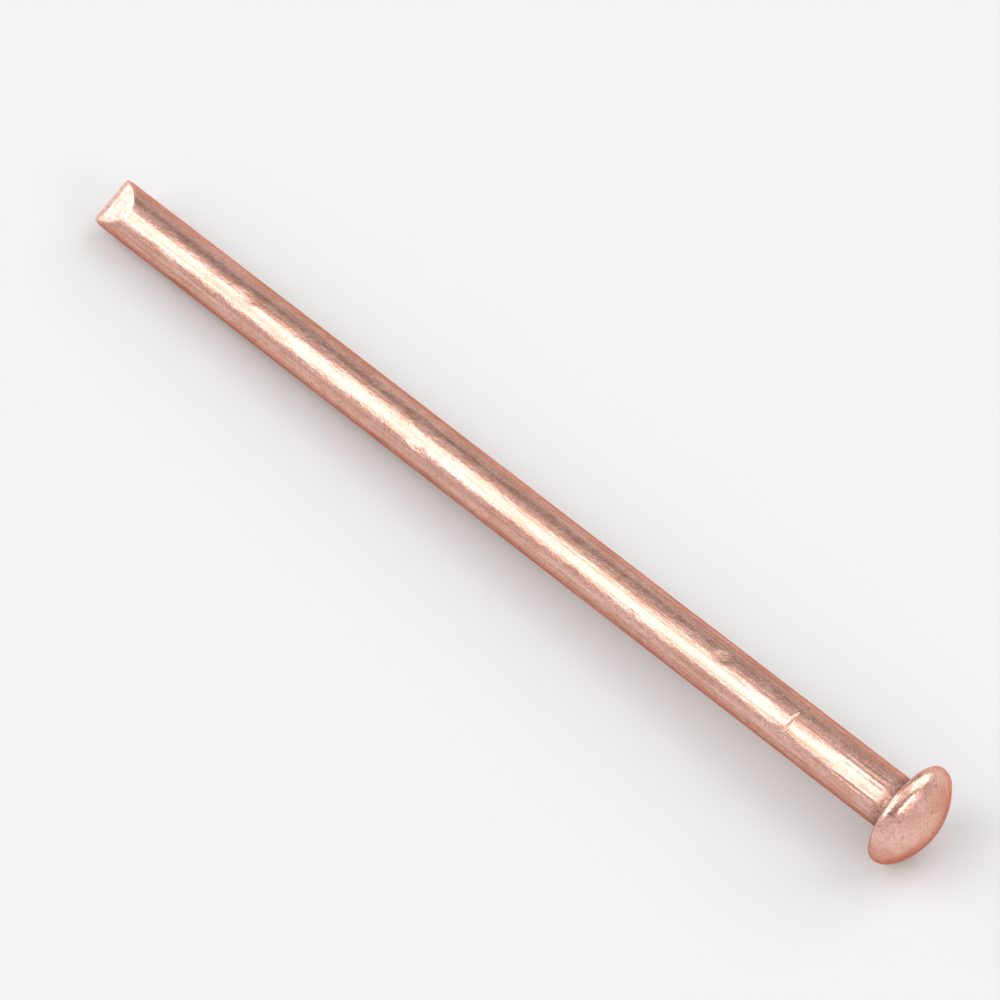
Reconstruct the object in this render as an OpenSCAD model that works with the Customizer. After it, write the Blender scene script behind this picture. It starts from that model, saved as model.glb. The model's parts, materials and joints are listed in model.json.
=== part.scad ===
// Copper-plated welding nail: cold-headed round steel wire with a domed head
// and a pinch-cut chisel point, plated with copper all over.
// The nail lies along X. The axis is the X axis, the head is at +X, and X = 0
// is where the straight shank begins, just under the head.

/* [Overall] */
// Length from the end of the point to the crown of the head
nail_len = 50; // [30:1:80]
// Diameter of the shank, over the plating
shank_d = 2.5; // [2:0.1:3]
// Thickness of the copper plating
plating_t = 0.03; // [0.02:0.005:0.05]

/* [Head] */
// Diameter of the head, over the plating
head_d = 4.9; // [4.6:0.05:6]
// Height of the head, from the corner of its underside to its crown
head_h = 1.85; // [1.6:0.05:2.2]
// Slope of the underside, in degrees from square to the shank
under_angle = 16; // [6:1:20]
// Radius of the shoulder between the dome and the widest part of the head
shoulder_r = 0.65; // [0.4:0.01:0.9]
// Radius that rounds the lower edge of the head
rim_r = 0.22; // [0.15:0.01:0.35]
// Radius of the fillet between underside and shank
neck_r = 0.35; // [0.2:0.05:0.5]

/* [Point] */
// Slope of the two long facets, in degrees from the axis
facet_angle = 27; // [20:1:35]
// Slope of the two short facets at the very end, in degrees from the axis
end_angle = 45; // [40:1:60]
// Half thickness where long and short facets meet
facet_half = 0.55; // [0.35:0.05:0.6]
// Half thickness of the blunt edge
edge_half = 0.1; // [0.08:0.01:0.15]
// How far the corners of the blunt edge are worn back along the axis
corner_len = 0.4; // [0.3:0.05:0.6]
// How far the corners of the blunt edge are worn in towards the axis
corner_in = 0.12; // [0.08:0.01:0.2]
// Turn of the point about the axis, in degrees, 0 with a facet facing up
point_roll = 25; // [-90:5:90]

/* [Grip nick] */
// Distance of the nick from the start of the straight shank
nick_x = 5.5; // [4:0.5:14]
// Depth of the nick
nick_depth = 0.1; // [0.06:0.01:0.15]
// Half angle of the nick's V
nick_half_angle = 45; // [35:5:50]
// Turn of the nick about the axis, in degrees, 0 with the nick on top
nick_roll = 25; // [-90:5:90]

/* [Hidden] */
$fn = 96;

// Radii over the plating
shank_r = shank_d / 2;
head_r = head_d / 2;

// Centre of the rounded edge, with Z = 0 at the corner of the underside
rim_at = head_r - rim_r;
rim_z = rim_r / cos(under_angle) + (rim_at - shank_r) * tan(under_angle);
// Centre of the shoulder, level with the rounded edge's. On a low head the
// shoulder is kept below the crown.
shoulder = min(shoulder_r, head_h - rim_z - 0.15);
shoulder_at = head_r - shoulder;
// The dome's sphere is tangent to the shoulder and reaches the crown
rim_drop = rim_z - head_h;
dome_r = (shoulder * shoulder - rim_drop * rim_drop
    - shoulder_at * shoulder_at) / (2 * (rim_drop + shoulder));
dome_z = head_h - dome_r;
dome_tilt = atan2(shoulder_at, rim_z - dome_z);
// Centre of the fillet under the head. The straight shank begins level with it.
neck_at = shank_r + neck_r;
neck_z = neck_r * tan(under_angle) - neck_r / cos(under_angle);

// The point's end, from the start of the straight shank
crown_z = head_h - neck_z;
end_z = crown_z - nail_len;
facet_up = (facet_half - edge_half) / tan(end_angle);
facet_top = facet_up + (shank_r - facet_half) / tan(facet_angle);
straight_len = -end_z - facet_top;
// Where the worn corners start, kept clear of the height at which long and
// short facets meet
corner_up = abs(corner_len - facet_up) < 0.03 ? facet_up + 0.03 : corner_len;

// Height above the end at which long and short facets meet, once both have
// moved in by t
function meet(t) = (facet_half - edge_half - facet_up * tan(facet_angle)
    - t / cos(facet_angle) + t / cos(end_angle))
    / (tan(end_angle) - tan(facet_angle));
function half_at(u, t) = edge_half + u * tan(end_angle) - t / cos(end_angle);
function long_half(u, t) = facet_half + (u - facet_up) * tan(facet_angle)
    - t / cos(facet_angle);

// Half section of head and shank, moved in by t. Y is the nail's axis, and
// Y = 0 is the start of the straight shank.
module half_section(t) {
    lift = -neck_z;
    r = shank_r - t;
    rim = rim_r - t;
    wide_z = lift + rim_z;
    // Tangent points of the underside with the fillet and the rounded edge
    neck_t = [neck_at - (neck_r + t) * sin(under_angle),
              lift + neck_z + (neck_r + t) * cos(under_angle)];
    rim_t = [rim_at + rim * sin(under_angle),
             lift + rim_z - rim * cos(under_angle)];
    // A point clear of the dome, on the line through both centres
    clear = [shoulder_at + (shoulder + 0.6) * sin(dome_tilt),
             wide_z + (shoulder + 0.6) * cos(dome_tilt)];
    difference() {
        union() {
            polygon([
                [0, end_z + t],
                [r - corner_in, end_z + t],
                [r, end_z + t + corner_up],
                [r, 0],
                neck_t,
                rim_t,
                [rim_at, wide_z],
                [0, wide_z]
            ]);
            intersection() {
                translate([rim_at, wide_z]) circle(rim);
                translate([0, wide_z - 1]) square([head_r + 1, 1]);
            }
            intersection() {
                translate([shoulder_at, wide_z]) circle(shoulder - t);
                translate([0, wide_z]) square([head_r + 1, 1]);
            }
            intersection() {
                translate([0, lift + dome_z]) circle(dome_r - t);
                polygon([
                    [0, wide_z],
                    [shoulder_at, wide_z],
                    clear,
                    [clear[0], lift + head_h + 1],
                    [0, lift + head_h + 1]
                ]);
            }
        }
        translate([neck_at, 0]) circle(neck_r + t);
    }
}

// Side view of the chisel point, moved in by t, as a slab that runs past the
// head so that it cuts only the point
module point_slab(t) {
    m = meet(t);
    far = facet_top + 1.5;
    wide = long_half(far, t);
    top = nail_len + 5;
    linear_extrude(height = 3 * head_d, center = true)
        polygon([
            [half_at(t, t), t],
            [half_at(m, t), m],
            [wide, far],
            [head_d, far + 0.5],
            [head_d, top],
            [-head_d, top],
            [-head_d, far + 0.5],
            [-wide, far],
            [-half_at(m, t), m],
            [-half_at(t, t), t]
        ]);
}

// V nick that the gripping die leaves across the shank, moved in by t
module nick(t) {
    apex = shank_r - nick_depth - t / sin(nick_half_angle);
    reach = 1;
    rotate([90, 0, 0])
        linear_extrude(height = 2 * shank_d, center = true)
            polygon([
                [apex, 0],
                [apex + reach, reach * tan(nick_half_angle)],
                [apex + reach, -reach * tan(nick_half_angle)]
            ]);
}

// The whole nail along Z, with its surface moved in by t
module nail_z(t) {
    difference() {
        intersection() {
            rotate_extrude() half_section(t);
            rotate([0, 0, point_roll])
                translate([0, 0, end_z])
                    rotate([90, 0, 0]) point_slab(t);
        }
        rotate([0, 0, 180 + nick_roll]) translate([0, 0, -nick_x]) nick(t);
    }
}

// Turned so that the head is at +X, and what faced -X faces up
module along_x() {
    rotate([0, 90, 0]) children();
}

// Cold-headed low-carbon steel wire: head, shank and point in one piece
module steel_core() {
    color([0.52, 0.52, 0.54]) along_x() nail_z(plating_t);
}

// Closed skin of electroplated copper over the whole nail
module copper_plating() {
    color([0.80, 0.52, 0.44])
        along_x()
            difference() {
                nail_z(0);
                nail_z(plating_t);
            }
}

steel_core();
copper_plating();
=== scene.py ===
# A copper-plated welding nail on a pale studio floor.
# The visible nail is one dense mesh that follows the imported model's own sizes:
# domed head, rounded rim, coned underside, drawn shank and pinch-cut point,
# with the dents, die lines, grip nick and burrs of a real wire nail.
import math

import bmesh
import bpy
import numpy as np
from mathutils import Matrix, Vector
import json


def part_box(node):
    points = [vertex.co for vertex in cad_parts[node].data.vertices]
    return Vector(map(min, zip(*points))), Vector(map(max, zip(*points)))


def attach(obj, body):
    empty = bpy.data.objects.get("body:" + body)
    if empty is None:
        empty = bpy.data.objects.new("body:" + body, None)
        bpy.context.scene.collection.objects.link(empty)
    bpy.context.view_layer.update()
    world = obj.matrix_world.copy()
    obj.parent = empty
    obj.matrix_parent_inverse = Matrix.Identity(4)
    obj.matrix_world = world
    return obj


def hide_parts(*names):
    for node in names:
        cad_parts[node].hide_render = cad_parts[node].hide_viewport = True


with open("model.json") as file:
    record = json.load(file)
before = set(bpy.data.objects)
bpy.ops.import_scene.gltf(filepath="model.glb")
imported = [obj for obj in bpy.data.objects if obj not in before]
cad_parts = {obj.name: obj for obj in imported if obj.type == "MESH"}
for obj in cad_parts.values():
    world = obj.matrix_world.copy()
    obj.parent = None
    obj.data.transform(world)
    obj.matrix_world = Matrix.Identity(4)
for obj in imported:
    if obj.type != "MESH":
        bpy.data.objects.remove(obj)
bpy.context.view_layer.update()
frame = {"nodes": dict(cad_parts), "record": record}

MM = 0.001
D2R = math.pi / 180

# ---------------------------------------------------------------- sizes, in mm
lo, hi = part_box("copper_plating")
CROWN_X = hi.x / MM
END_X = lo.x / MM
HEAD_R = (hi.y - lo.y) / 2 / MM
SHANK_R = next(m for m in frame["record"]["mounts"] if m["name"] == "shank")["dims"]["r_mm"]
PLATING = 0.03

RIM_R = 0.22
SHOULDER_R = 0.65
NECK_R = 0.35
UNDER = 16 * D2R
ROLL = 25 * D2R          # how far the facets are turned from facing straight up
NICK_X = -5.5
NICK_DEPTH = 0.1
FACET = 27 * D2R
END = 45 * D2R
FACET_HALF = 0.55
EDGE_HALF = 0.1
CORNER_LEN = 0.4
CORNER_IN = 0.12

NECK_AT = SHANK_R + NECK_R
LIFT = NECK_R / math.cos(UNDER) - NECK_R * math.tan(UNDER)
RIM_AT = HEAD_R - RIM_R
RIM_X = LIFT + RIM_R / math.cos(UNDER) + (RIM_AT - SHANK_R) * math.tan(UNDER)
SHOULDER_AT = HEAD_R - SHOULDER_R
_drop = RIM_X - CROWN_X
DOME_R = (SHOULDER_R**2 - _drop**2 - SHOULDER_AT**2) / (2 * (_drop + SHOULDER_R))
DOME_X = CROWN_X - DOME_R
DOME_TILT = math.atan2(SHOULDER_AT, RIM_X - DOME_X)
FACET_UP = (FACET_HALF - EDGE_HALF) / math.tan(END)
FACET_TOP = FACET_UP + (SHANK_R - FACET_HALF) / math.tan(FACET)
FACET_X = END_X + FACET_TOP     # where the long facets begin

# Directions across the nail: FACE_N is the way one facet faces, FACE_E runs along the edge
FACE_N = np.array([0.0, -math.sin(ROLL), math.cos(ROLL)])
FACE_E = np.array([0.0, math.cos(ROLL), math.sin(ROLL)])


# ------------------------------------------------------------- seeded noise
def noise3(x, y, z, seed):
    """Smooth value noise, about -1 to 1, at points given in cells."""
    table = np.random.RandomState(seed).rand(4096) * 2 - 1
    ix, iy, iz = (np.floor(v).astype(np.int64) for v in (x, y, z))
    fx, fy, fz = x - ix, y - iy, z - iz
    fx, fy, fz = (f * f * f * (f * (f * 6 - 15) + 10) for f in (fx, fy, fz))
    out = 0.0
    for dx in (0, 1):
        for dy in (0, 1):
            for dz in (0, 1):
                h = ((ix + dx) * 73856093) ^ ((iy + dy) * 19349663) ^ ((iz + dz) * 83492791)
                w = (
                    (fx if dx else 1 - fx)
                    * (fy if dy else 1 - fy)
                    * (fz if dz else 1 - fz)
                )
                out = out + w * table[np.mod(h, 4096)]
    return out


def fbm(p, scale, seed, octaves=3, stretch=(1, 1, 1)):
    """Sum of noises at points p (mm). scale is the size of the largest cells."""
    out, amp, total = 0.0, 1.0, 0.0
    for k in range(octaves):
        f = 2.0**k / scale
        out = out + amp * noise3(
            p[..., 0] * f / stretch[0] + 13.1 * k + 0.37,
            p[..., 1] * f / stretch[1] + 7.7 * k + 0.61,
            p[..., 2] * f / stretch[2] + 3.3 * k + 0.19,
            seed + k,
        )
        total += amp
        amp *= 0.5
    return out / total


def smooth(a, b, v):
    t = np.clip((v - a) / (b - a), 0, 1)
    return t * t * (3 - 2 * t)


def wrap(a):
    return (a + math.pi) % (2 * math.pi) - math.pi


def smin(a, b, k):
    return np.minimum(a, b) - np.maximum(k - np.abs(a - b), 0) ** 2 / (4 * k)


# ---------------------------------------------------- the nail's half section
def arc(cx, cr, rad, a0, a1, n):
    """Points (x, r) on an arc. Angle 0 points along +X, 90 degrees away from the axis."""
    a = np.linspace(a0, a1, n)
    return np.stack([cx + rad * np.cos(a), cr + rad * np.sin(a)], 1)


def head_section(inset, fine):
    """Half section from the crown to the start of the straight shank, moved in by inset."""
    n = lambda k: max(5, int(k * fine))
    dome = arc(DOME_X, 0, DOME_R - inset, 0, DOME_TILT, n(50))
    dome[0, 1] = 0
    shoulder = arc(RIM_X, SHOULDER_AT, SHOULDER_R - inset, DOME_TILT, math.pi / 2, n(22))
    rim = arc(RIM_X, RIM_AT, RIM_R - inset, math.pi / 2, math.pi - UNDER, n(16))
    neck = arc(0, NECK_AT, NECK_R + inset, -UNDER, -math.pi / 2, n(14))
    cone = np.linspace(rim[-1], neck[0], n(20))
    return np.concatenate([dome, shoulder[1:], rim[1:], cone[1:], neck[1:]])


def shank_rings(step):
    """X of the rings along the straight shank, closer together at the grip nick."""
    xs, x = [], 0.0
    top = FACET_X + 0.15
    while x > top + step * 0.5:
        near = abs(x - NICK_X)
        x -= step if near > 0.5 else max(0.016, step * (0.2 + 0.8 * near / 0.5))
        xs.append(x)
    xs[-1] = top
    return np.array(xs)


def point_ring(u, inset, count):
    """One ring of the chisel point, u mm above its end: arrays n, e and the facet share, even along its length."""
    u_in = u + 0.0
    long_half = FACET_HALF + (u_in - FACET_UP) * math.tan(FACET) - inset / math.cos(FACET)
    short_half = EDGE_HALF + u_in * math.tan(END) - inset / math.cos(END)
    half = smin(long_half, short_half, 0.03)
    worn = min(1.0, max(0.0, (u_in - inset) / CORNER_LEN))
    r = SHANK_R - inset - CORNER_IN * (1 - math.sin(worn * math.pi / 2))
    psi = np.linspace(0, math.pi / 2, 700)
    psi = np.concatenate([psi, math.pi / 2 - np.geomspace(0.25, 1e-4, 300)])
    psi = np.unique(np.clip(psi, 0, math.pi / 2))
    flat = half / np.maximum(np.cos(psi), 1e-6)
    rad = smin(r, flat, 0.035)
    share = smooth(-0.012, 0.03, r - flat)
    n, e = rad * np.cos(psi), rad * np.sin(psi)
    s = np.concatenate([[0], np.cumsum(np.hypot(np.diff(n), np.diff(e)))])
    q = np.linspace(0, s[-1], count // 4 + 1)
    n, e, share = np.interp(q, s, n), np.interp(q, s, e), np.interp(q, s, share)
    n[-1] = 0
    full_n = np.concatenate([n, -n[-2::-1]])[:-1]       # 0 to just under 180 degrees
    full_e = np.concatenate([e, e[-2::-1]])[:-1]
    full_s = np.concatenate([share, share[-2::-1]])[:-1]
    return (
        np.concatenate([full_n, -full_n]),
        np.concatenate([full_e, -full_e]),
        np.concatenate([full_s, full_s]),
        r,
        half,
    )


def nail_grid(inset, count, fine, step, point_n):
    """The smooth nail as a grid of rings. Returns x, n, e (mm), the facet share, and the ring kind (0 head, 1 shank, 2 point, 3 end cap)."""
    head = head_section(inset, fine)
    shank = shank_rings(step)
    psi = np.arange(count) * 2 * math.pi / count
    X, N, E, S, K, RR, HH = [], [], [], [], [], [], []

    def round_ring(x, r, kind):
        X.append(np.full(count, x)); N.append(r * np.cos(psi)); E.append(r * np.sin(psi))
        S.append(np.zeros(count)); K.append(kind); RR.append(r); HH.append(9.0)

    for x, r in head:
        round_ring(x, r, 0)
    for x in shank:
        round_ring(x, SHANK_R - inset, 1)
    us = FACET_TOP + 0.15 - (FACET_TOP + 0.15 - inset) * np.linspace(0, 1, point_n) ** 0.85
    for u in us[1:]:
        n, e, s, r, h = point_ring(u, inset, count)
        X.append(np.full(count, END_X + u)); N.append(n); E.append(e); S.append(s)
        K.append(2); RR.append(r); HH.append(h)
    # the blunt end: rings that close on the middle line of the edge
    n0, e0, s0 = N[-1], E[-1], S[-1]
    for k in (0.75, 0.5, 0.25, 0.0):
        X.append(X[-1] * 0 + END_X + inset - 0.012 * (1 - k * k)); N.append(n0 * k)
        E.append(e0 * (0.985 + 0.015 * k)); S.append(s0 * 0 + 1); K.append(3)
        RR.append(SHANK_R); HH.append(EDGE_HALF)
    return tuple(np.array(a) for a in (X, N, E, S, K, RR, HH))


def place(X, N, E):
    p = np.zeros(X.shape + (3,))
    p[..., 0] = X
    return p + N[..., None] * FACE_N + E[..., None] * FACE_E


def grid_normals(p, centre=None):
    di = np.gradient(p, axis=0)
    dj = (np.roll(p, -1, 1) - np.roll(p, 1, 1)) / 2
    n = np.cross(dj, di)
    ln = np.linalg.norm(n, axis=-1, keepdims=True)
    n = n / np.maximum(ln, 1e-12)
    n[0] = (1, 0, 0)
    return n


# --------------------------------------------------- what a real nail adds, mm
rng = np.random.RandomState(11)
DIE_LINES = []
for _ in range(74):
    length = rng.uniform(6, 44)
    mid = rng.uniform(-46, 0)
    DIE_LINES.append(
        (
            rng.uniform(-math.pi, math.pi),
            rng.uniform(0.016, 0.06),                    # half width
            rng.uniform(0.0012, 0.0042) * (1 if rng.rand() < 0.8 else -0.7),
            mid - length / 2,
            mid + length / 2,
            rng.uniform(-0.004, 0.004),                  # drift round the nail per mm
        )
    )
DENTS = []
for _ in range(26):
    DENTS.append(
        (
            rng.uniform(-45.5, -1.5),
            rng.uniform(-math.pi, math.pi),
            rng.uniform(0.22, 0.75),
            rng.uniform(0.2, 0.5),
            rng.uniform(0.006, 0.022),
            rng.uniform(-0.9, 0.9),
        )
    )
# where neighbours in the heap have pressed, on the side that faces up
DENTS += [(-9.7, 0.35, 0.55, 0.42, 0.026, 0.5), (-27.4, -0.3, 0.62, 0.44, 0.022, -0.6),
          (-17.8, -0.62, 0.45, 0.4, 0.02, 0.2), (-38.6, 0.15, 0.8, 0.36, 0.02, 0.1)]
HEAD_PITS = [(rng.uniform(-1, 1, 3), rng.uniform(0.05, 0.16), rng.uniform(0.006, 0.02)) for _ in range(30)]


def relief(P, X, N, E, S, K, RR, HH):
    """How far each point of the smooth nail stands out (mm), and masks for the material."""
    psi = np.arctan2(E, N)
    kind = K[:, None] + 0 * X
    facet = S
    on_wire = smooth(0.45, -0.5, X) * (1 - facet) * (kind < 3)
    on_head = smooth(-0.05, 0.3, X)
    arc_len = SHANK_R

    d = 0 * X
    groove = 0 * X
    for a, w, depth, x0, x1, drift in DIE_LINES:
        t = wrap(psi - a - drift * X * 0.2) * arc_len
        line = np.exp(-((t / w) ** 2)) * smooth(x0 - 1.5, x0 + 1.5, X) * smooth(x1 + 1.5, x1 - 1.5, X)
        d -= depth * line * on_wire
        if depth > 0.002:
            groove = np.maximum(groove, line * on_wire * min(1, depth / 0.0042))
    # wire is never quite round or straight-sided
    d += 0.0035 * np.cos(2 * psi + 0.7 + X * 0.01) * on_wire
    d += 0.0045 * fbm(P, 2.6, 21, 2, (2.4, 1, 1)) * on_wire
    d += 0.0016 * fbm(P, 0.34, 31, 2, (3.5, 1, 1)) * on_wire
    dent = 0 * X
    for x0, a, lx, lt, depth, skew in DENTS:
        t = wrap(psi - a) * arc_len
        q = np.sqrt(((X - x0 - skew * t) / lx) ** 2 + (t / lt) ** 2)
        bowl = smooth(1.0, 0.35, q)
        lip = np.exp(-(((q - 1.12) / 0.2) ** 2))
        d += (-depth * bowl + 0.16 * depth * lip) * on_wire
        dent = np.maximum(dent, bowl * on_wire)
    # collar and serrations that the gripping dies leave under the head
    d += 0.018 * np.exp(-(((X + 0.55) / 0.5) ** 2)) * (0.6 + 0.4 * np.cos(2 * psi)) * on_wire
    grip = smooth(-2.9, -2.2, X) * smooth(-0.15, -0.5, X)
    d += 0.0065 * np.cos(psi * arc_len * 2 * math.pi / 0.23) * grip * smooth(0.25, 0.75, np.abs(np.cos(psi + 0.35))) * on_wire
    # die parting lines, one each side, fading along the shank
    for side in (0.5 * math.pi, -0.5 * math.pi):
        t = wrap(psi - side - 0.04) * arc_len
        fin = np.exp(-((t / 0.045) ** 2)) * smooth(-9.5, -4.0, X)
        d += 0.013 * fin * on_wire
    # the grip nick: a V across the wire with a little metal pushed up beside it
    cosp = np.cos(psi)
    cut = (SHANK_R - NICK_DEPTH + np.abs(X - NICK_X) * 0.95) / np.maximum(cosp, 0.2) - SHANK_R
    cut = np.where(cosp > 0.3, cut, 1.0)
    nick = smin(0 * X, cut, 0.012) * (kind == 1)
    d = d * smooth(-0.05, 0.0, nick) + nick
    edge = np.exp(-(((cut - 0.022) / 0.022) ** 2)) * (cosp > 0.3) * (np.abs(X - NICK_X) < 0.4)
    d += 0.012 * edge * (kind == 1)
    nick_mask = smooth(-0.004, -0.03, nick)

    # burr rolled up along the curved border of each facet
    f = RR[:, None] * np.abs(np.cos(psi)) - HH[:, None]
    slope = np.sqrt(np.sin(psi) ** 2 + math.tan(FACET) ** 2)
    off = f / slope
    inside = (kind >= 2) | ((kind == 1) & (X < FACET_X + 0.5))
    wobble = 0.6 + 0.5 * fbm(P, 0.45, 41, 2)
    burr = np.exp(-(((off + 0.03) / 0.045) ** 2)) * inside * (HH[:, None] < 8)
    d += 0.024 * burr * wobble * (kind == 2) * smooth(END_X + 0.02, END_X + 0.3, X)
    # sheared faces: ridges along the cut, a slight hollow, a torn band at the very end
    d += 0.0042 * facet * np.sin(E * 2 * math.pi / 0.17 + 2.2 * fbm(P, 0.9, 45, 2)) * (kind == 2)
    d += 0.0065 * facet * fbm(P, 0.35, 46, 3, (2.0, 1, 1)) * (kind == 2)
    d -= 0.02 * facet * smooth(FACET_X, END_X + FACET_UP, X) * (1 - (E / SHANK_R) ** 2) * (kind == 2) * smooth(0, FACET_UP, X - END_X)
    torn = facet * smooth(FACET_UP * 1.05, FACET_UP * 0.5, X - END_X)
    d += 0.012 * torn * fbm(P, 0.16, 49, 2)

    # the head: uneven upsetting, small pits, a soft lip round the rim
    ang = np.arctan2(E, N)
    rimness = on_head * smooth(RIM_AT * 0.8, RIM_AT, np.hypot(N, E))
    low = fbm(np.stack([np.cos(ang) * 1.3, np.sin(ang) * 1.3, 0 * ang], -1), 1.0, 53, 2)
    d += 0.024 * rimness * low
    d += 0.011 * on_head * fbm(P, 1.5, 57, 2) * smooth(0.0, 0.25, X)
    d += 0.0028 * on_head * fbm(P, 0.3, 61, 2) * smooth(0.0, 0.25, X)
    centre = np.array([DOME_X, 0, 0])
    # the corner under the head, where the material paints shade
    corner = smooth(-0.42, 0.02, X) * smooth(0.74, 0.42, X) * smooth(2.34, 1.95, np.hypot(N, E)) * (kind == 0)
    corner = np.maximum(corner, smooth(-0.42, 0.02, X) * (kind == 1) * (X > -1))
    pit_mask = 0 * X
    for v, size, depth in HEAD_PITS:
        v = v / np.linalg.norm(v)
        v[0] = abs(v[0]) * 0.8 + 0.55
        v = v / np.linalg.norm(v)
        q = np.linalg.norm(P - (centre + v * DOME_R), axis=-1) / size
        bowl = smooth(1.0, 0.1, q)
        d -= depth * bowl
        pit_mask = np.maximum(pit_mask, bowl * (depth > 0.011))
    return d, {
        "head": on_head,
        "facet": facet * (kind >= 2),
        "groove": groove,
        "dent": dent,
        "edge": np.clip(burr * (kind == 2) * wobble * 1.5 + edge * 0.8 + 0.5 * nick_mask, 0, 1),
        "pit": pit_mask,
        "nick": nick_mask,
        "corner": corner,
    }


HEAD_SHIFT = np.array([0.0, 0.03, -0.022])


def surface(inset, count, fine, step, point_n):
    X, N, E, S, K, RR, HH = nail_grid(inset, count, fine, step, point_n)
    P = place(X, N, E)
    nrm = grid_normals(P)
    d, masks = relief(P, X, N, E, S, K, RR, HH)
    d = np.where(K[:, None] == 3, 0, d)
    Q = P + d[..., None] * nrm
    # the head sits a hair off the wire's centre
    Q = Q + masks["head"][..., None] * HEAD_SHIFT
    return Q, masks


def grid_faces(rows, cols):
    """Vertex numbering and faces of a closed grid: ring 0 is one pole, and the last ring is welded onto its own middle line."""
    half = cols // 2
    j = np.arange(cols)
    idx = np.zeros((rows, cols), np.int64)
    idx[1:] = 1 + np.arange((rows - 1) * cols).reshape(rows - 1, cols)
    mirror = (half - j) % cols
    first = np.minimum(j, mirror)
    idx[-1] = idx[-1][first]
    k = (j + 1) % cols
    a, b, c, e = idx[1:-1][:, j], idx[1:-1][:, k], idx[2:][:, k], idx[2:][:, j]
    quads = np.stack([a, b, c, e], -1).reshape(-1, 4)
    tris = np.stack([idx[0][j], idx[1][j], idx[1][k]], -1)
    return idx, quads, tris


def make_mesh(name, shells):
    """One mesh from (grid, masks, flip) shells. The masks become named point attributes."""
    verts, faces, values = [], [], {}
    base = 0
    for Q, masks, flip in shells:
        rows, cols = Q.shape[:2]
        idx, quads, tris = grid_faces(rows, cols)
        n = 1 + (rows - 1) * cols
        co = np.zeros((n, 3))
        co[0] = Q[0, 0]
        co[1:] = Q[1:].reshape(-1, 3)
        mirror = (cols // 2 - np.arange(cols)) % cols
        co[1 + (rows - 2) * cols:] = (Q[-1] + Q[-1][mirror]) / 2
        used = np.zeros(n, bool)
        used[quads.ravel()] = True
        used[tris.ravel()] = True
        number = np.cumsum(used) - 1 + base
        quads, tris = number[quads], number[tris]
        if flip:
            quads, tris = quads[:, ::-1], tris[:, ::-1]
        verts.append(co[used] * MM)
        faces += quads.tolist() + tris.tolist()
        for key, m in masks.items():
            flat = np.concatenate([[m[0].mean()], m[1:].ravel()])
            values.setdefault(key, []).append(flat[used])
        base += int(used.sum())
    mesh = bpy.data.meshes.new(name)
    mesh.from_pydata(np.concatenate(verts), [], faces)
    for key, parts in values.items():
        layer = mesh.attributes.new(key, "FLOAT", "POINT")
        layer.data.foreach_set("value", np.concatenate(parts).astype(np.float32))
    mesh.validate()
    bm = bmesh.new()
    bm.from_mesh(mesh)
    bmesh.ops.dissolve_degenerate(bm, dist=1e-9, edges=bm.edges)
    bm.to_mesh(mesh)
    bm.free()
    mesh.shade_smooth()
    ob = bpy.data.objects.new(name, mesh)
    bpy.context.scene.collection.objects.link(ob)
    return ob


outer, outer_masks = surface(0.0, 240, 1.0, 0.072, 84)
inner, inner_masks = surface(PLATING, 72, 0.45, 0.5, 26)


# ------------------------------------------------------------------ materials
class Nodes:
    """Short calls for building a node tree."""

    def __init__(self, tree):
        self.t = tree
        tree.nodes.clear()

    def add(self, kind, **props):
        n = self.t.nodes.new(kind)
        for k, v in props.items():
            setattr(n, k, v)
        return n

    def link(self, a, b):
        self.t.links.new(a, b)
        return b

    def value(self, sock, v):
        if isinstance(v, bpy.types.NodeSocket):
            self.t.links.new(v, sock)
        else:
            sock.default_value = v

    def math(self, op, a, b=0.0, c=0.0, clamp=False):
        n = self.add("ShaderNodeMath", operation=op, use_clamp=clamp)
        for s, v in zip(n.inputs, (a, b, c)):
            self.value(s, v)
        return n.outputs[0]

    def mix(self, fac, a, b, mode="MIX"):
        n = self.add("ShaderNodeMix", data_type="RGBA", blend_type=mode)
        self.value(n.inputs[0], fac)
        self.value(n.inputs[6], a)
        self.value(n.inputs[7], b)
        return n.outputs[2]

    def ramp(self, fac, *stops):
        n = self.add("ShaderNodeValToRGB")
        n.color_ramp.interpolation = "EASE"
        els = n.color_ramp.elements
        while len(els) > 1:
            els.remove(els[0])
        for i, (pos, v) in enumerate(stops):
            e = els[0] if i == 0 else els.new(pos)
            e.position = pos
            e.color = (v, v, v, 1) if isinstance(v, (int, float)) else (*v, 1)
        self.value(n.inputs[0], fac)
        return n.outputs[0]

    def noise(self, vec, scale, detail=3.0, rough=0.5, distort=0.0):
        n = self.add("ShaderNodeTexNoise")
        self.value(n.inputs["Vector"], vec)
        n.inputs["Scale"].default_value = scale
        n.inputs["Detail"].default_value = detail
        n.inputs["Roughness"].default_value = rough
        n.inputs["Distortion"].default_value = distort
        return n.outputs["Fac"]

    def mapping(self, vec, scale=(1, 1, 1), loc=(0, 0, 0)):
        n = self.add("ShaderNodeMapping")
        self.value(n.inputs["Vector"], vec)
        n.inputs["Scale"].default_value = scale
        n.inputs["Location"].default_value = loc
        return n.outputs[0]

    def attr(self, name):
        n = self.add("ShaderNodeAttribute", attribute_name=name)
        return n.outputs["Fac"]

    def voronoi(self, vec, scale, feature="F1"):
        n = self.add("ShaderNodeTexVoronoi", feature=feature)
        self.value(n.inputs["Vector"], vec)
        n.inputs["Scale"].default_value = scale
        return n


def srgb(r, g, b):
    f = lambda c: c / 12.92 if c <= 0.04045 else ((c + 0.055) / 1.055) ** 2.4
    return tuple(f(v / 255) for v in (r, g, b))


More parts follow.
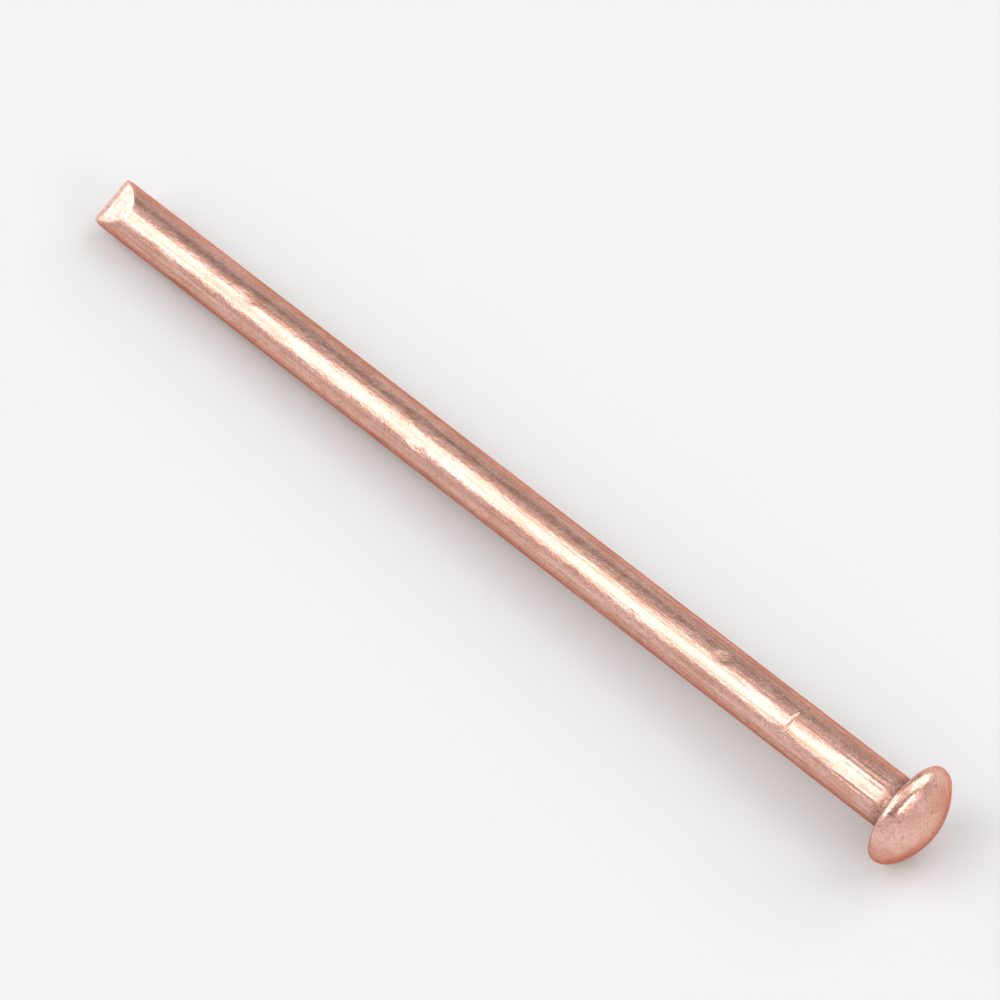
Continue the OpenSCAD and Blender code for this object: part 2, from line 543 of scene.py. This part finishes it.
def copper_material():
    m = bpy.data.materials.new("copper_plate")
    m.use_nodes = True
    k = Nodes(m.node_tree)
    out = k.add("ShaderNodeOutputMaterial")
    bsdf = k.add("ShaderNodeBsdfPrincipled")
    k.link(bsdf.outputs[0], out.inputs[0])
    p = k.add("ShaderNodeTexCoord").outputs["Object"]
    mm = k.mapping(p, (1000, 1000, 1000))                       # 1 unit is 1 mm

    head, facet = k.attr("head"), k.attr("facet")
    groove, dent, edge, pit, nick, corner = (k.attr(a) for a in ("groove", "dent", "edge", "pit", "nick", "corner"))
    wire = k.math("MULTIPLY", k.math("SUBTRACT", 1.0, head), k.math("SUBTRACT", 1.0, facet))

    # streaks drawn out along the wire
    broad = k.noise(k.mapping(mm, (0.05, 1.3, 1.3), (3.1, 0, 0)), 1.0, 2.0, 0.5, 0.2)
    streak = k.noise(k.mapping(mm, (0.16, 4.2, 4.2), (0, 5.3, 1.7)), 1.0, 3.0, 0.6, 0.15)
    thread = k.noise(k.mapping(mm, (0.35, 13.0, 13.0), (0, 1.3, 8.7)), 1.0, 2.0, 0.6)
    # blotches and grain of the plating itself
    blotch = k.noise(mm, 0.75, 4.0, 0.6, 0.3)
    mottle = k.noise(k.mapping(mm, (0.6, 1, 1)), 5.0, 4.0, 0.65)
    grain = k.noise(k.mapping(mm, (0.5, 1, 1)), 19.0, 2.0, 0.6)

    streaky = k.math("ADD", k.math("MULTIPLY", streak, 0.55), k.math("MULTIPLY", thread, 0.25))
    streaky = k.math("ADD", streaky, k.math("MULTIPLY", broad, 0.2))
    brown_wire = k.ramp(streaky, (0.0, 0.95), (0.40, 0.78), (0.52, 0.28), (0.62, 0.0))
    brown_head = k.ramp(blotch, (0.0, 0.85), (0.38, 0.5), (0.55, 0.06), (1.0, 0.0))
    brown = k.math("MULTIPLY", brown_wire, wire)
    brown = k.math("ADD", brown, k.math("MULTIPLY", brown_head, k.math("MULTIPLY", head, 0.6)))
    brown = k.math("ADD", brown, k.math("MULTIPLY", groove, 0.55))
    brown = k.math("ADD", brown, k.math("MULTIPLY", k.ramp(mottle, (0.38, 0.45), (0.5, 0.0)), 0.7))
    # the streaks are cleared from the edges so that the painted highlight there stays pale
    brown = k.math("SUBTRACT", brown, k.math("MULTIPLY", edge, 0.9), clamp=True)

    pink = srgb(240, 192, 178)
    rose = srgb(228, 172, 156)
    tan = srgb(186, 140, 122)
    cream = srgb(252, 222, 208)
    dark = srgb(84, 56, 48)
    # cream painted on the facets as a highlight
    facet_highlight_cream = srgb(255, 234, 223)

    c = k.mix(k.ramp(blotch, (0.35, 0.0), (0.65, 1.0)), (*rose, 1), (*pink, 1))
    c = k.mix(k.math("MULTIPLY", k.ramp(grain, (0.5, 0.0), (0.66, 1.0)), 0.6), c, (*cream, 1))
    speck = k.noise(k.mapping(mm, (0.6, 1, 1), (7, 1, 4)), 9.0, 3.0, 0.7)
    c = k.mix(k.math("MULTIPLY", k.ramp(speck, (0.34, 1.0), (0.48, 0.0)), 0.5), c, (*tan, 1))
    c = k.mix(k.math("MULTIPLY", brown, 0.8, clamp=True), c, (*tan, 1))
    # painted highlight: the facets are painted a pale cream that stands in for the light they reflect, broken up by a
    # faint grain
    patch = k.noise(k.mapping(mm, (1, 1, 1), (5.5, 2.5, 0.4)), 2.4, 4.0, 0.65, 0.4)
    c = k.mix(k.math("MULTIPLY", facet, k.ramp(patch, (0.34, 0.25), (0.55, 0.9))), c, (*facet_highlight_cream, 1))
    # painted highlight: the burrs and the grip nick are painted cream, a glint on the edges
    c = k.mix(k.math("MULTIPLY", edge, 0.5), c, (*cream, 1))
    # painted shade: the corner under the head is painted darker, standing in for the shade in the neck
    painted_neck_shade = k.math("MULTIPLY", corner, k.ramp(speck, (0.35, 0.9), (0.62, 0.5)))
    c = k.mix(painted_neck_shade, c, (*srgb(136, 104, 92), 1))
    # tiny dark pits, sparse and uneven in size
    cells = k.voronoi(mm, 1.7)
    size = k.math("MULTIPLY", k.ramp(cells.outputs["Color"], (0.45, 0.0), (1.0, 1.0)), 0.075)
    spot = k.math("LESS_THAN", cells.outputs["Distance"], size)
    fine = k.voronoi(k.mapping(mm, (1, 1, 1), (2.2, 9.1, 4.4)), 4.6)
    fine_size = k.math("MULTIPLY", k.ramp(fine.outputs["Color"], (0.6, 0.0), (1.0, 1.0)), 0.11)
    fine_spot = k.math("LESS_THAN", fine.outputs["Distance"], fine_size)
    spots = k.math("MAXIMUM", spot, k.math("MULTIPLY", fine_spot, 0.6))
    spots = k.math("MAXIMUM", spots, k.math("MULTIPLY", pit, 0.55))
    c = k.mix(k.math("MULTIPLY", spots, 0.8), c, (*dark, 1))
    k.link(c, bsdf.inputs["Base Color"])

    bsdf.inputs["Metallic"].default_value = 1.0
    bsdf.inputs["Specular Tint"].default_value = (*srgb(239, 178, 158), 1)
    rough = k.math("ADD", 0.18, k.math("MULTIPLY", brown, 0.1))
    rough = k.math("ADD", rough, k.math("MULTIPLY", k.math("SUBTRACT", mottle, 0.5), 0.3))
    rough = k.math("ADD", rough, k.math("MULTIPLY", k.math("SUBTRACT", blotch, 0.5), 0.12))
    rough = k.math("ADD", rough, k.math("MULTIPLY", facet, 0.12))
    rough = k.math("ADD", rough, k.math("MULTIPLY", corner, 0.22))
    rough = k.math("ADD", rough, k.math("MULTIPLY", spots, 0.3), clamp=True)
    k.link(rough, bsdf.inputs["Roughness"])

    # fine relief: drawing lines on the wire, orange peel on the head, both in mm
    lines = k.noise(k.mapping(mm, (0.22, 16.0, 16.0), (0, 3.3, 6.1)), 1.0, 3.0, 0.6)
    lines = k.math("MULTIPLY", lines, wire)
    sway = k.noise(k.mapping(mm, (0.75, 2.6, 2.6), (4.2, 0.7, 2.9)), 1.0, 2.0, 0.5)
    peel = k.noise(mm, 6.0, 4.0, 0.6)
    shear = k.noise(k.mapping(mm, (2.2, 5.5, 5.5), (1.1, 8.0, 3.0)), 1.0, 4.0, 0.65)
    relief_h = k.math("ADD", k.math("MULTIPLY", lines, 0.35), k.math("MULTIPLY", peel, 0.85))
    relief_h = k.math("ADD", relief_h, k.math("MULTIPLY", k.math("MULTIPLY", sway, wire), 1.5))
    relief_h = k.math("ADD", relief_h, k.math("MULTIPLY", k.math("MULTIPLY", shear, facet), 3.0))
    relief_h = k.math("ADD", relief_h, k.math("MULTIPLY", grain, 0.12))
    relief_h = k.math("SUBTRACT", relief_h, k.math("MULTIPLY", spots, 0.6))
    bump = k.add("ShaderNodeBump")
    bump.inputs["Strength"].default_value = 0.8
    bump.inputs["Distance"].default_value = 0.022 * MM
    k.link(relief_h, bump.inputs["Height"])
    k.link(bump.outputs[0], bsdf.inputs["Normal"])
    return m


def steel_material():
    m = bpy.data.materials.new("drawn_steel")
    m.use_nodes = True
    k = Nodes(m.node_tree)
    out = k.add("ShaderNodeOutputMaterial")
    bsdf = k.add("ShaderNodeBsdfPrincipled")
    k.link(bsdf.outputs[0], out.inputs[0])
    mm = k.mapping(k.add("ShaderNodeTexCoord").outputs["Object"], (1000, 1000, 1000))
    drawn = k.noise(k.mapping(mm, (0.2, 9, 9)), 1.0, 3.0, 0.6)
    c = k.mix(drawn, (*srgb(120, 120, 124), 1), (*srgb(178, 178, 182), 1))
    k.link(c, bsdf.inputs["Base Color"])
    bsdf.inputs["Metallic"].default_value = 1.0
    k.link(k.math("ADD", 0.3, k.math("MULTIPLY", drawn, 0.2)), bsdf.inputs["Roughness"])
    bump = k.add("ShaderNodeBump")
    bump.inputs["Strength"].default_value = 0.4
    bump.inputs["Distance"].default_value = 0.01 * MM
    k.link(drawn, bump.inputs["Height"])
    k.link(bump.outputs[0], bsdf.inputs["Normal"])
    return m


copper = copper_material()
steel = steel_material()

skin = make_mesh("copper_skin", [(outer, outer_masks, False), (inner, inner_masks, True)])
skin.data.materials.append(copper)
core = make_mesh("steel_wire", [(inner, inner_masks, False)])
core.data.materials.append(steel)
frame["nodes"]["copper_plating"].data.materials.clear()
frame["nodes"]["copper_plating"].data.materials.append(copper)
frame["nodes"]["steel_core"].data.materials.clear()
frame["nodes"]["steel_core"].data.materials.append(steel)

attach(skin, "root")
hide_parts("copper_plating")
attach(core, "root")
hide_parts("steel_core")


# ---------------------------------------------------------------- floor
# The nail lies on its head's rim and the back of its point, so the floor leans a little.
pts = outer.reshape(-1, 3)
rim_side = pts[pts[:, 0] > 0]
tip_side = pts[pts[:, 0] < -40]
tilt = 0.02
for _ in range(40):
    a = rim_side[np.argmin(rim_side[:, 2] - tilt * 0 + rim_side[:, 0] * tilt)]
    b = tip_side[np.argmin(tip_side[:, 2] + tip_side[:, 0] * tilt)]
    tilt = -(a[2] - b[2]) / (a[0] - b[0])
floor_z = a[2] + a[0] * tilt            # height of the floor where X = 0
print("floor: tilt %.3f deg, rim at %s, point at %s" % (math.degrees(math.atan(tilt)), a.round(3), b.round(3)))


def floor_height(x):
    return floor_z - tilt * x


floor_mesh = bpy.data.meshes.new("floor")
bm = bmesh.new()
bmesh.ops.create_circle(bm, cap_ends=True, radius=2.2, segments=96)
for v in bm.verts:
    v.co.z = (floor_z - 0.003) * MM - tilt * v.co.x
bm.to_mesh(floor_mesh)
bm.free()
floor = bpy.data.objects.new("floor", floor_mesh)
bpy.context.scene.collection.objects.link(floor)
fm = bpy.data.materials.new("pale_floor")
fm.use_nodes = True
k = Nodes(fm.node_tree)
o = k.add("ShaderNodeOutputMaterial")
fb = k.add("ShaderNodeBsdfPrincipled")
k.link(fb.outputs[0], o.inputs[0])
fb.inputs["Base Color"].default_value = (0.67, 0.67, 0.675, 1)
fb.inputs["Roughness"].default_value = 0.65
fb.inputs["Specular IOR Level"].default_value = 0.2
floor.data.materials.append(fm)


# ---------------------------------------------------------------- camera
scene = bpy.context.scene
VIEW_ELEV = 53 * D2R
HEAD_TURN = -44 * D2R           # way the head points on the ground, from the view's right; below 0 is nearer
# camera's ground directions in the row frame
right = np.array([math.cos(-HEAD_TURN), math.sin(-HEAD_TURN), 0])
ahead = np.array([-math.sin(-HEAD_TURN), math.cos(-HEAD_TURN), 0])
to_cam = -ahead * math.cos(VIEW_ELEV) + np.array([0, 0, math.sin(VIEW_ELEV)])
cam_data = bpy.data.cameras.new("camera")
cam_data.lens = 190
cam_data.sensor_width = 36
cam_data.clip_start = 0.005
cam_data.clip_end = 20
cam = bpy.data.objects.new("camera", cam_data)
scene.collection.objects.link(cam)
scene.camera = cam
target = Vector(((CROWN_X + END_X) / 2 * MM - 0.0002, 0, 0))
dist = 0.232
cam.location = target + Vector(to_cam) * dist
cam.rotation_euler = (target - cam.location).to_track_quat("-Z", "Y").to_euler()


def screen(v):
    """A direction given as (right, ahead, up) of the view, in the row frame."""
    return Vector(right * v[0] + ahead * v[1] + np.array([0, 0, 1]) * v[2])


# ---------------------------------------------------------------- light
def area(name, way, dist_m, size, energy, color=(1, 1, 1), size_y=None):
    d = bpy.data.lights.new(name, "AREA")
    d.shape = "RECTANGLE"
    d.size = size
    d.size_y = size_y or size
    d.energy = energy
    d.color = color
    ob = bpy.data.objects.new(name, d)
    scene.collection.objects.link(ob)
    w = screen(way).normalized()
    ob.location = target + w * dist_m
    ob.rotation_euler = (-w).to_track_quat("-Z", "Y").to_euler()
    ob.visible_camera = False
    return ob


area("key", (-0.67, -0.09, 0.73), 0.6, 0.5, 1.9, (1.0, 1.0, 1.0), 0.52)
area("back", (0.67, 0.26, 0.70), 0.6, 0.5, 1.5, (1.0, 1.0, 1.0), 0.5)
area("dome_light", (0.66, -0.62, 0.42), 0.6, 0.4, 0.75, (1, 1, 1), 0.17)
area("point_light", (-0.73, 0.65, 0.24), 0.6, 0.2, 0.36)

world = bpy.data.worlds.new("studio")
scene.world = world
world.use_nodes = True
k = Nodes(world.node_tree)
wo = k.add("ShaderNodeOutputWorld")
bg = k.add("ShaderNodeBackground")
k.link(bg.outputs[0], wo.inputs[0])
d = k.add("ShaderNodeTexCoord").outputs["Generated"]
sep = k.add("ShaderNodeSeparateXYZ")
k.link(d, sep.inputs[0])
up = sep.outputs[2]
level = k.ramp(up, (0.0, 0.74), (0.61, 0.72), (0.65, 0.03), (0.715, 0.03), (0.755, 0.7), (0.87, 0.74), (0.95, 1.05), (1.0, 1.15))
pale = k.add("ShaderNodeLightPath").outputs["Is Camera Ray"]
shade = k.mix(pale, level, (0.86, 0.86, 0.865, 1))
k.link(shade, bg.inputs["Color"])
bg.inputs["Strength"].default_value = 1.0

scene.view_settings.view_transform = "Standard"
scene.view_settings.look = "None"

bpy.context.view_layer.update()
import json
